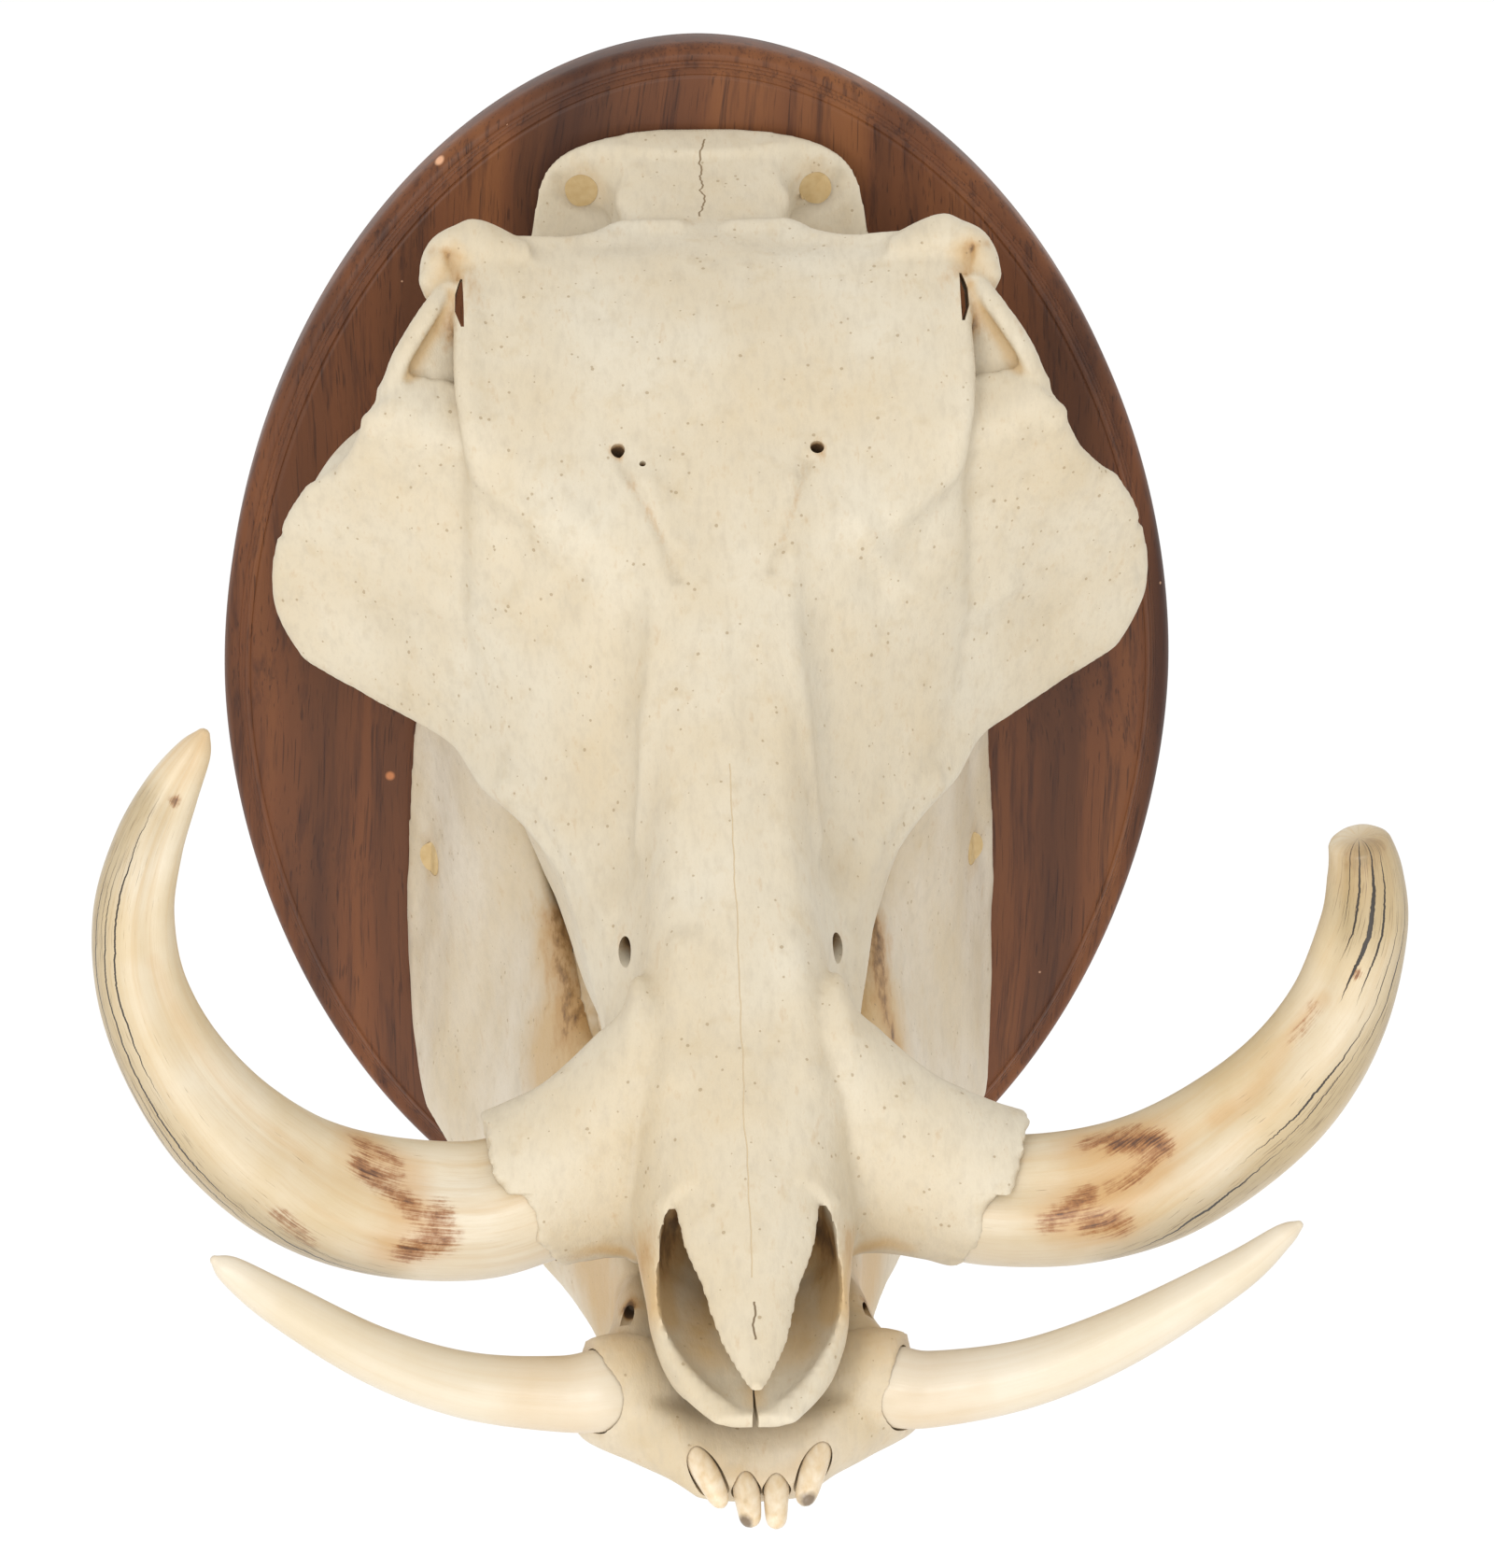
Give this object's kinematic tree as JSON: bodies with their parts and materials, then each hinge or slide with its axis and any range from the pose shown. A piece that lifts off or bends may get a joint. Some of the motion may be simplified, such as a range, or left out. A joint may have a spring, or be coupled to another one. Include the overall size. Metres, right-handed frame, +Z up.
{
  "type": "warthog skull wall mount",
  "caption": "Warthog skull with its lower jaw and long curved tusks, fixed to an oval hardwood board with a moulded edge that hangs on a wall.",
  "frame": {"origin": "centre of the flat back of the board, on the wall", "axes": "+Y from the room into the wall, the skull looks towards -Y; +Z up; +X to the viewer's right"},
  "size_m": [0.3178, 0.3388, 0.378],
  "materials": {
    "board_wood": "satin varnished walnut-brown hardwood",
    "bone": "matt bleached bone",
    "ivory": "satin tusk ivory with fine dark cracks",
    "enamel": "satin tooth enamel",
    "steel": "plain steel wood screw",
    "filler": "matt tan filler"
  },
  "bodies": {
    "root": {"board": "board_wood", "cranium": "bone", "mandible": "bone", "upper_tusk_left": "ivory", "upper_tusk_right": "ivory", "lower_tusk_left": "ivory", "lower_tusk_right": "ivory", "incisor_left_outer": "enamel", "incisor_left_inner": "enamel", "incisor_right_inner": "enamel", "incisor_right_outer": "enamel", "upper_molar_left": "enamel", "upper_molar_right": "enamel", "lower_molar_left": "enamel", "lower_molar_right": "enamel", "screw_skull_left": "steel", "screw_skull_right": "steel", "screw_jaw_left": "steel", "screw_jaw_right": "steel", "plug_skull_left": "filler", "plug_skull_right": "filler", "plug_jaw_left": "filler", "plug_jaw_right": "filler"}
  },
  "joints": []
}
